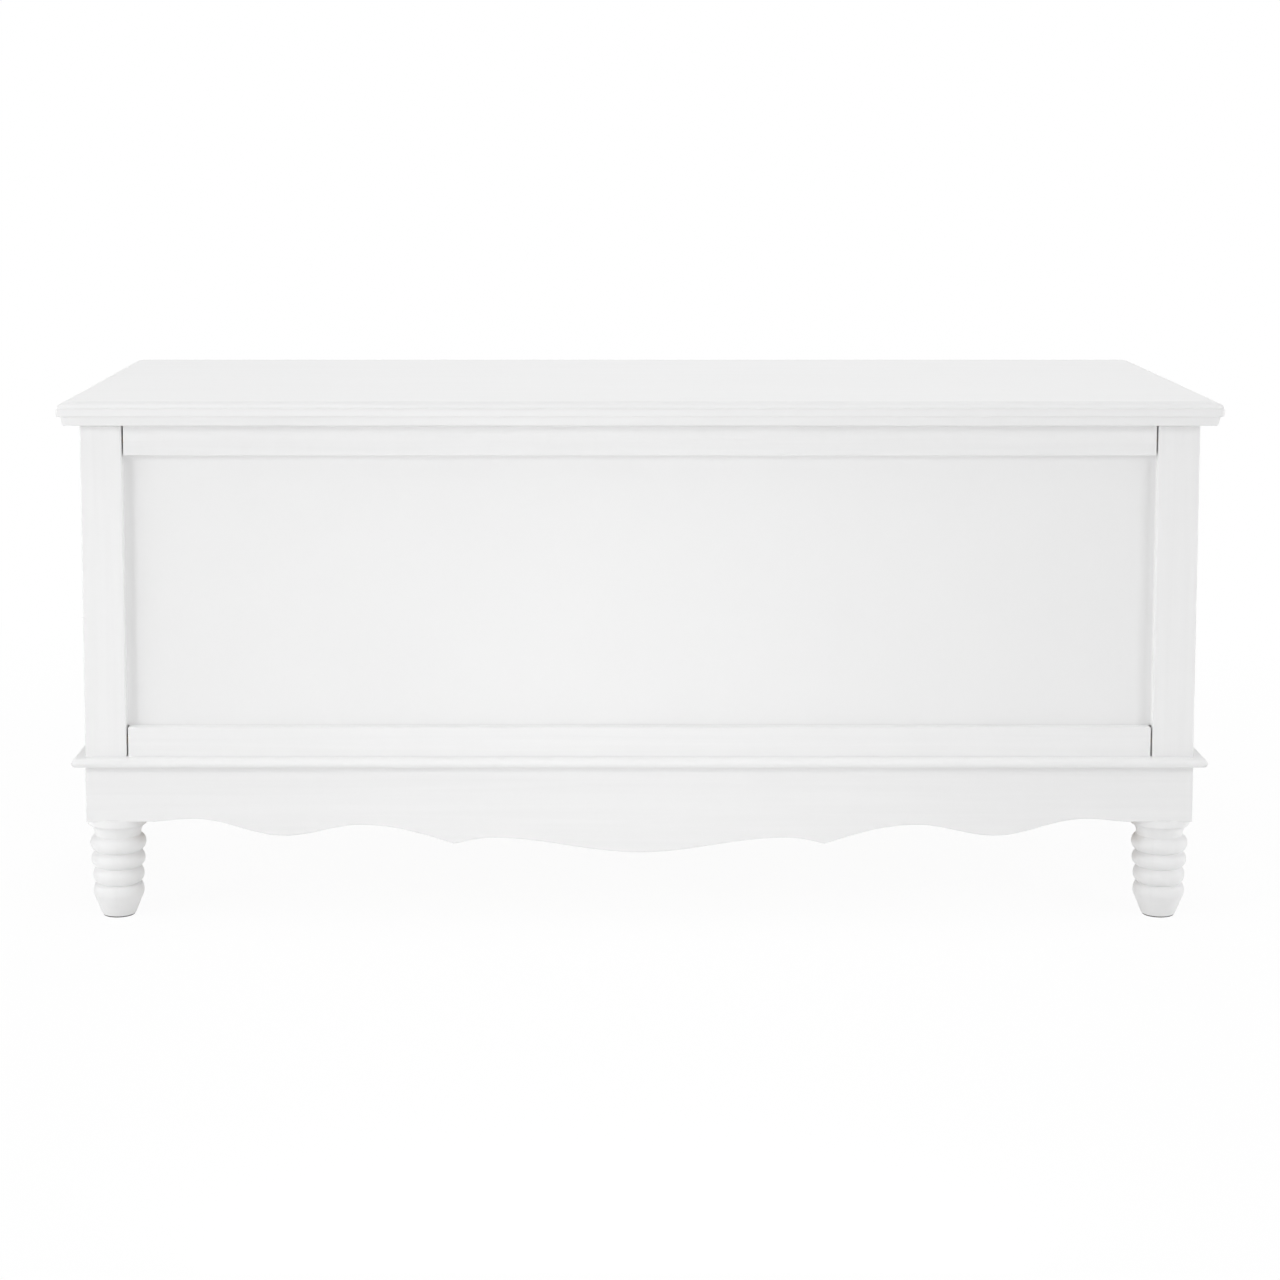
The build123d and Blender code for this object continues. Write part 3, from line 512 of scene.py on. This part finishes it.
# Panel: rectangles carried outwards from the back of the board. They keep its size as far as the step,
# then shrink to the field between the posts and the rails, and at the front by a quarter circle of easing.
def fieldedPanel(low, high, along, outside, fieldLevels):
    p = {key: value * mm for key, value in panelShape.items()}
    across = 1 - along
    back, front = (high[across], low[across]) if outside < 0 else (low[across], high[across])
    step = back + outside * p["board"]
    turn = np.radians(np.linspace(0, 90, 4))
    depth = np.concatenate([[back, step, step], front - outside * p["ease"] * (1 - np.sin(turn))])
    inset = np.concatenate([[0, 0, 0], p["ease"] * (1 - np.cos(turn))])
    onField = np.arange(len(depth)) > 1
    start = low[along] + np.where(onField, p["margin"] + inset, 0)
    finish = high[along] - np.where(onField, p["margin"] + inset, 0)
    bottom = np.where(onField, fieldLevels[0] + p["gap"] + inset, low[2])
    top = np.where(onField, fieldLevels[1] - p["gap"] - inset, high[2])
    rings = np.zeros((len(depth), 4, 3))
    rings[..., along] = np.stack([start, finish, finish, start], -1)
    rings[..., across] = depth[:, None]
    rings[..., 2] = np.stack([bottom, bottom, top, top], -1)
    return skin(rings)


wallEase = {"rail": 0.9, "floor": 0.6}
for wall in ("front", "back", "left", "right"):
    along = 0 if wall in ("front", "back") else 1
    paint = (paintAlongX, paintAlongY)[along]
    for place in ("top", "bottom"):
        if (wall, place) == ("back", "top"):
            continue                         # keeps its CAD shape, with the beds for the hinges
        low, high = span(f"{wall}_{place}_rail")
        if place == "bottom":
            low[2] -= wallEase["rail"] * mm  # the eased lower edge is let into the moulding
        shape = easedBoard(low, high, wallEase["rail"], along)
        addPiece(f"{wall}_{place}_rail_eased", shape, "box", paint, [f"{wall}_{place}_rail"])
    outside = -1 if wall in ("front", "left") else 1
    fieldLevels = span(f"{wall}_bottom_rail")[1][2], span(f"{wall}_top_rail")[0][2]
    shape = fieldedPanel(*span(f"{wall}_panel"), along, outside, fieldLevels)
    addPiece(f"{wall}_panel_fielded", shape, "box", rolledBoardPaint, [f"{wall}_panel"])
shape = easedBoard(*span("floor_panel"), wallEase["floor"], 0)
addPiece("floor_panel_flat", shape, "box", rolledBoardPaint, ["floor_panel"])
print("walls made")

mouldingLow, mouldingHigh = span("front_moulding")
mouldingShape = {"ledge": 60.5, "backEase": 0.5}


# Bullnose section: a half circle at the nose, flat above and below, square at the ledge
def bullnoseSection(noseSteps=19):
    radius = (mouldingHigh[2] - mouldingLow[2]) / 2
    ledge = mouldingShape["ledge"] * mm
    nose = arc((radius, mouldingLow[2] + radius), radius, 90, 270, noseSteps)
    return np.concatenate([nose, [[ledge, mouldingLow[2]], [ledge, mouldingHigh[2]]]])


backEdge = span("left_moulding")[1][1]
baseCorners = planCorners(mouldingLow[0], mouldingHigh[0], mouldingLow[1], backEdge)
for wall, (start, finish, inwards, mitres, paint) in stripRuns.items():
    shape = mitredStrip(bullnoseSection(), baseCorners[start], baseCorners[finish], inwards, mitres)
    addPiece(f"{wall}_moulding_bullnose", shape, "box", paint, [f"{wall}_moulding"])
shape = easedBoard(*span("back_moulding"), mouldingShape["backEase"], 0)
addPiece("back_moulding_flat", shape, "box", paintAlongX, ["back_moulding"])

# Turning points of the scallop: distance from the corner of the body and height over the tops of the legs
frontScallop = {
    "straight": (52.0, 0.0), "arch": (93.0, 2.7), "lobe": (173.0, -12.3), "crest": (240.0, -2.7),
    "cusp": (321.4, -19.7), "peak": (354.4, -14.1), "centre": (483.0, -27.1),
}
sideScallop = {"straight": (52.0, 0.0), "arch": (93.0, 2.7), "centre": (201.0, -20.0)}
apronShape = {"ease": 0.8, "stations": 480}


# Lower edge of an apron: half a cosine wave from each turning point to the next, and a quarter wave
# into and out of a cusp, so that the curve is level at every turning point but the cusp
def scallopHeight(distance, turns):
    isCusp = np.array([name == "cusp" for name in turns])
    place, height = np.array(list(turns.values())).T * mm
    left = np.clip(np.searchsorted(place, distance, side="right") - 1, 0, len(place) - 2)
    share = np.clip((distance - place[left]) / (place[left + 1] - place[left]), 0, 1)
    rise = np.where(isCusp[left + 1], 1 - np.cos(share * np.pi / 2), (1 - np.cos(share * np.pi)) / 2)
    rise = np.where(isCusp[left], np.sin(share * np.pi / 2), rise)
    return height[left] + (height[left + 1] - height[left]) * rise


# Apron: an upright board section with eased lower corners, carried along the wall. At each station
# the lower edge follows the scallop, and the upper edge stays level.
def scallopedApron(low, high, along, turns, bodyLow, bodyHigh, legTop):
    r = apronShape["ease"] * mm
    u = np.linspace(low[along], high[along], apronShape["stations"])[:, None]
    fromCorner = np.minimum(u - bodyLow[along], bodyHigh[along] - u)
    edge = legTop + scallopHeight(fromCorner, turns)
    across = 1 - along
    front = arc((low[across] + r, 0), r, 180, 270, 5)
    back = arc((high[across] - r, 0), r, 270, 360, 5)
    lower = np.concatenate([front, back])
    v = np.concatenate([[low[across]], lower[:, 0], [high[across]]])
    upper = 0 * edge + high[2]
    rings = np.zeros((len(u), len(v), 3))
    rings[..., along] = u
    rings[..., across] = v
    rings[..., 2] = np.concatenate([upper, edge + r + lower[:, 1], upper], 1)
    return skin(rings)


bodyLow = span("front_left_post")[0]
bodyHigh = span("back_right_post")[1]
legTop = span("front_left_leg")[1][2]
apronRuns = {
    "front": (0, frontScallop, paintAlongX),
    "left": (1, sideScallop, paintAlongY),
    "right": (1, sideScallop, paintAlongY),
}
for wall, (along, turns, paint) in apronRuns.items():
    shape = scallopedApron(*span(f"{wall}_apron"), along, turns, bodyLow, bodyHigh, legTop)
    addPiece(f"{wall}_apron_scalloped", shape, "box", paint, [f"{wall}_apron"],
             sharpAbove=30)
shape = easedBoard(*span("back_apron"), apronShape["ease"], 0)
addPiece("back_apron_plain", shape, "box", paintAlongX, ["back_apron"])
print("base made")

# Leg: radius and height over the floor of each point of the turning, and radii of the beads, in mm
legTurning = {
    "foot": (15.0, 1.0), "footEase": 1.2, "taper": (21.3, 17.5), "swell": (22.3, 21.5),
    "grooves": ((18.7, 29.2), (19.2, 43.8), (19.4, 57.6), (20.1, 72.3)), "beads": (22.5, 23.7, 24.5),
    "collar": (26.0, 82.0), "collarEase": 1.6,
    "collarTop": 89.3,                       # let into the eased edge of the apron
}


# One bead: a circular arc over the chord between two grooves, leaning as far as their radii differ
def beadArc(lower, upper, crown, steps=15):
    share = np.linspace(0, 1, steps)
    height = lower[1] + (upper[1] - lower[1]) * share
    half = (upper[1] - lower[1]) / 2
    chord = lower[0] + (upper[0] - lower[0]) * share
    swell = crown - (lower[0] + upper[0]) / 2
    radius = (half ** 2 + swell ** 2) / (2 * swell)
    bulge = np.sqrt(radius ** 2 - (half * (2 * share - 1)) ** 2) - (radius - swell)
    return np.stack([chord + bulge, height], -1)


# Leg profile from the floor up: eased foot, straight taper, swelling, three beads, cove and collar.
# The swelling rises as a parabola and falls as a quarter ellipse, and the cove is a quarter ellipse too.
def legProfile(bowSteps=10, coveSteps=9):
    t = legTurning
    foot, taper, swell, grooves, collar = t["foot"], t["taper"], t["swell"], t["grooves"], t["collar"]
    ease, rimEase = t["footEase"], t["collarEase"]
    firstGroove, neck = grooves[0], grooves[-1]
    bow = np.linspace(0, 1, bowSteps)
    swelling = np.stack([
        taper[0] + (swell[0] - taper[0]) * (1 - (1 - bow) ** 2), taper[1] + (swell[1] - taper[1]) * bow,
    ], -1)
    toGroove = np.stack([
        firstGroove[0] + (swell[0] - firstGroove[0]) * np.sqrt(1 - bow ** 2),
        swell[1] + (firstGroove[1] - swell[1]) * bow,
    ], -1)
    beads = [beadArc(*pair)[1:] for pair in zip(grooves, grooves[1:], t["beads"])]
    sweep = np.radians(np.linspace(0, 90, coveSteps))
    cove = np.stack([
        neck[0] + (collar[0] - neck[0]) * (1 - np.cos(sweep)),
        neck[1] + (collar[1] - neck[1]) * np.sin(sweep),
    ], -1)[1:-1]
    rim = arc((collar[0] - rimEase, collar[1] + rimEase), rimEase, 290, 360, 5)
    return mm * np.concatenate([
        arc((foot[0] - ease, foot[1] + ease), ease, 270, 330, 4), [taper], swelling[1:], toGroove[1:],
        *beads, cove, rim, [[collar[0], t["collarTop"]]],
    ])


glideShape = {"radius": 14.0, "thick": 2.0, "ease": 0.6}
glideRadius, glideEase = glideShape["radius"], glideShape["ease"]
glideProfile = mm * np.concatenate([
    arc((glideRadius - glideEase, glideEase), glideEase, 270, 360, 5), [[glideRadius, glideShape["thick"]]],
])
glides = []
for corner in corners:
    low, high = span(f"{corner}_leg")
    x, y = (low[:2] + high[:2]) / 2
    addPiece(f"{corner}_leg_turned", turned(legProfile(), x, y), "box", paintAlongZ,
             [f"{corner}_leg"], sharpAbove=50)
    glides.append(turned(glideProfile, x, y, around=64))
# The glides' dark colour also paints the contact shadow under the feet.
addPiece("foot_glides_round", together(glides), "box", glidePlasticAndShadow, ["foot_glides"])
print("legs made")

knobLow, knobHigh = span("stay_friction_knobs")
knobShape = {"long": 10.0, "ease": 1.4, "dish": 0.6, "dishWide": 5.5, "dishCentre": 0.4, "fluteDepth": 0.7}
knobFlutes = {"count": 16, "steps": 12}


# Knob: a short turning on a level axis, its rim drawn in by a cosine of the flutes, its face dished
def flutedKnob(inner, outer, y, z, radius):
    k = {key: value * mm for key, value in knobShape.items()}
    long = abs(outer - inner)
    e = k["ease"]
    dishFloor = long - k["dish"]
    profile = np.concatenate([
        [[radius - e, 0]], arc((radius - e, e), e, 300, 360, 4), arc((radius - e, long - e), e, 0, 90, 6),
        [[k["dishWide"], long], [k["dishWide"] - k["dish"], dishFloor], [k["dishCentre"], dishFloor]],
    ])
    count = knobFlutes["count"]
    angle = np.linspace(0, 2 * np.pi, knobFlutes["steps"] * count, endpoint=False)
    reach, depth = profile[:, :1], profile[:, 1:]
    onRim = np.clip((reach - k["dishWide"]) / (radius - k["dishWide"]), 0, 1)
    reach = reach - onRim * k["fluteDepth"] * (0.5 - 0.5 * np.cos(count * angle)) ** 2
    x = inner + np.sign(outer - inner) * depth + 0 * angle
    return skin(np.stack([x, y + reach * np.cos(angle), z + reach * np.sin(angle)], -1))


knobRadius = (knobHigh[2] - knobLow[2]) / 2
knobY, knobZ = ((knobLow + knobHigh) / 2)[1:]
knobLong = knobShape["long"] * mm
leftKnob = flutedKnob(knobLow[0], knobLow[0] + knobLong, knobY, knobZ, knobRadius)
rightKnob = flutedKnob(knobHigh[0], knobHigh[0] - knobLong, knobY, knobZ, knobRadius)
addPiece("stay_friction_knobs_fluted", together([leftKnob, rightKnob]), "box", knobNylon,
         ["stay_friction_knobs"], sharpAbove=50)

# Bumper: an upright side, then a low dome whose height falls as a parabola from a small flat centre
bumperShape = {"radius": 5.0, "dome": 0.5, "centreShare": 0.04}
bumperLow, bumperHigh = span("lid_bumpers")
bumperRadius, bumperDome = bumperShape["radius"] * mm, bumperShape["dome"] * mm
toCentre = np.linspace(0, 1, 7)
dome = np.stack([
    bumperRadius * (1 - (1 - bumperShape["centreShare"]) * toCentre),
    bumperHigh[2] - bumperDome * (1 - toCentre) ** 2,
], -1)
bumperProfile = np.concatenate([[[bumperRadius, bumperLow[2]]], dome])
bumpers = [
    turned(bumperProfile, x, y, around=48)
    for x in (bumperLow[0] + bumperRadius, bumperHigh[0] - bumperRadius)
    for y in (bumperLow[1] + bumperRadius, bumperHigh[1] - bumperRadius)
]
addPiece("lid_bumpers_domed", together(bumpers), "box", bumperRubber, ["lid_bumpers"])

# CAD nodes that stay get the finish of their real material
keptFinishes = {
    "back_top_rail": paintAlongX, "lid_back_strip": paintAlongX, "floor_bearers": pineAlongY,
    "corner_blocks": pineAlongZ, "rail_dowels": pineAlongX,
    "left_hinge_box_leaf": nickelSteel, "right_hinge_box_leaf": nickelSteel,
    "left_hinge_lid_leaf": nickelSteel, "right_hinge_lid_leaf": nickelSteel, "hinge_pins": nickelSteel,
    "left_stay_arm": nickelSteel, "right_stay_arm": nickelSteel,
    "stay_stud_plates": nickelSteel, "stay_lid_brackets": nickelSteel,
    "leg_hanger_bolts": zincSteel, "leg_insert_nuts": zincSteel, "post_screws": zincSteel,
    "cleat_screws": zincSteel, "hinge_box_screws": zincSteel, "hinge_lid_screws": zincSteel,
    "stay_plate_screws": zincSteel, "stay_bracket_screws": zincSteel,
}
for name, finish in keptFinishes.items():
    nodes[name].data.materials.clear()
    nodes[name].data.materials.append(finish)
print("hardware finished")


# 1 where the camera, a mirror or glass looks at a surface, and 0 where that surface only lights others
def seenDirectly(tree):
    path = addNode(tree, "ShaderNodeLightPath")
    seen = addNode(tree, "ShaderNodeMath", {"operation": "MAXIMUM"},
                   {0: path.outputs["Is Camera Ray"], 1: path.outputs["Is Glossy Ray"]})
    return addNode(tree, "ShaderNodeMath", {"operation": "MAXIMUM"},
                   {0: seen.outputs[0], 1: path.outputs["Is Transmission Ray"]})


# White paper sweep: seen by the camera or in a reflection it is mostly plain white, and the object's
# soft shadow stays on the near part of it. Lengths in m.
floorLook = {
    "half": 14.0, "colour": "#fcfcfc", "whiteNear": 0.95, "whiteFar": 1.0, "nearEdge": 0.5, "farEdge": 1.5,
}
half = floorLook["half"]
floorCorners = [(-half, -half, 0), (half, -half, 0), (half, half, 0), (-half, half, 0)]
floorMesh = bpy.data.meshes.new("studio_floor")
floorMesh.from_pydata(floorCorners, [], [(0, 1, 2, 3)])
studioFloor = bpy.data.objects.new("studio_floor", floorMesh)
bpy.context.scene.collection.objects.link(studioFloor)
floorMaterial, tree, place = newMaterial("white_paper_sweep")
away = addNode(tree, "ShaderNodeVectorMath", {"operation": "LENGTH"}, {0: place})
whiteness = addNode(tree, "ShaderNodeMapRange", {
    "interpolation_type": "SMOOTHSTEP", "From Min": floorLook["nearEdge"], "From Max": floorLook["farEdge"],
    "To Min": floorLook["whiteNear"], "To Max": floorLook["whiteFar"]}, {"Value": away.outputs["Value"]})
share = addNode(tree, "ShaderNodeMath", {"operation": "MULTIPLY"},
                {0: seenDirectly(tree).outputs[0], 1: whiteness.outputs[0]})
paper = addNode(tree, "ShaderNodeBsdfDiffuse", {"Color": linear(floorLook["colour"])})
white = addNode(tree, "ShaderNodeEmission", {"Strength": 1.0})
blend = addNode(tree, "ShaderNodeMixShader", None,
                {0: share.outputs[0], 1: paper.outputs[0], 2: white.outputs[0]})
floorMesh.materials.append(closeMaterial(floorMaterial, blend))

# White studio round the object: a plain white to look at, and a little light from all sides
worldLook = {"ambient": 0.1, "background": 1.0}
world = bpy.data.worlds.new("white_studio")
world.use_nodes = True
bpy.context.scene.world = world
tree = world.node_tree
tree.nodes.clear()
strength = addNode(tree, "ShaderNodeMapRange",
                   {"To Min": worldLook["ambient"], "To Max": worldLook["background"]},
                   {"Value": seenDirectly(tree).outputs[0]})
background = addNode(tree, "ShaderNodeBackground", {"Color": (1, 1, 1, 1)},
                     {"Strength": strength.outputs[0]})
addNode(tree, "ShaderNodeOutputWorld", None, {"Surface": background.outputs[0]})

# Soft boxes: place and aim in m, side length in m, power in W.
# The flat lid would mirror the high ones as a glare, so these aren't mirrored.
softBoxes = {
    "top_soft_box": {
        "place": (-0.2, -1.0, 3.0), "aim": (-0.1, -0.1, 0.2),
        "size": 2.0, "power": 26.5, "mirrored": False},
    "overhead_soft_box": {
        "place": (-0.15, 0.35, 2.9), "aim": (-0.15, 0.3, 0),
        "size": 2.0, "power": 16, "mirrored": False},
    "back_soft_box": {
        "place": (0.3, 3.0, 2.2), "aim": (0, 0.2, 0.25),
        "size": 1.4, "power": 36, "mirrored": False},
    "left_high_box": {
        "place": (-2.4, -2.0, 1.3), "aim": (-0.2, -0.2, 0.3),
        "size": 0.6, "power": 18.5, "mirrored": False},
    "right_high_box": {
        "place": (2.4, -2.0, 1.5), "aim": (0.2, -0.2, 0.3),
        "size": 1.2, "power": 23, "mirrored": False},
    "left_grazing_box": {
        "place": (-2.2, -0.9, 0.6), "aim": (-0.2, -0.2, 0.3),
        "size": 1.0, "power": 12, "mirrored": True},
    "right_grazing_box": {
        "place": (2.2, -0.9, 0.6), "aim": (0.2, -0.2, 0.3),
        "size": 1.0, "power": 4.5, "mirrored": True},
    "right_side_box": {
        "place": (2.2, 0.1, 0.45), "aim": (0.4, -0.1, 0.2),
        "size": 1.0, "power": 5.5, "mirrored": True},
    "low_soft_box": {
        "place": (-0.03, -0.95, 0.08), "aim": (-0.03, -0.2, 0.12),
        "size": 0.5, "power": 1.27, "mirrored": True},
}
for name, box in softBoxes.items():
    lamp = bpy.data.lights.new(name, "AREA")
    lamp.energy = box["power"]
    lamp.size = box["size"]
    lampObject = bpy.data.objects.new(name, lamp)
    lampObject.location = box["place"]
    lampObject.visible_glossy = box["mirrored"]
    aimX, aimY, aimZ = np.array(box["aim"]) - np.array(box["place"])
    rise = math.atan2(aimZ, math.hypot(aimX, aimY))
    lampObject.rotation_euler = (math.pi / 2 + rise, 0, math.atan2(-aimX, aimY))
    bpy.context.scene.collection.objects.link(lampObject)

# Camera: place, lens and sensor in mm, downward tilt in degrees, shifts as shares of the frame, reach in m
cameraLook = {
    "place": (-42.4, -2595.3, 705.0), "tilt": 5.787, "lens": 78.83, "sensor": 36.0,
    "shiftX": 0.0385, "shiftY": -0.19, "reach": 50.0,
}
cameraData = bpy.data.cameras.new("front_camera")
cameraData.lens = cameraLook["lens"]
cameraData.sensor_width = cameraLook["sensor"]
cameraData.shift_x = cameraLook["shiftX"]
cameraData.shift_y = cameraLook["shiftY"]
cameraData.clip_end = cameraLook["reach"]
camera = bpy.data.objects.new("front_camera", cameraData)
camera.location = [value * mm for value in cameraLook["place"]]
camera.rotation_euler = (math.radians(90 - cameraLook["tilt"]), 0, 0)
bpy.context.scene.collection.objects.link(camera)
bpy.context.scene.camera = camera
bpy.context.scene.view_settings.view_transform = "Standard"
print("studio set")
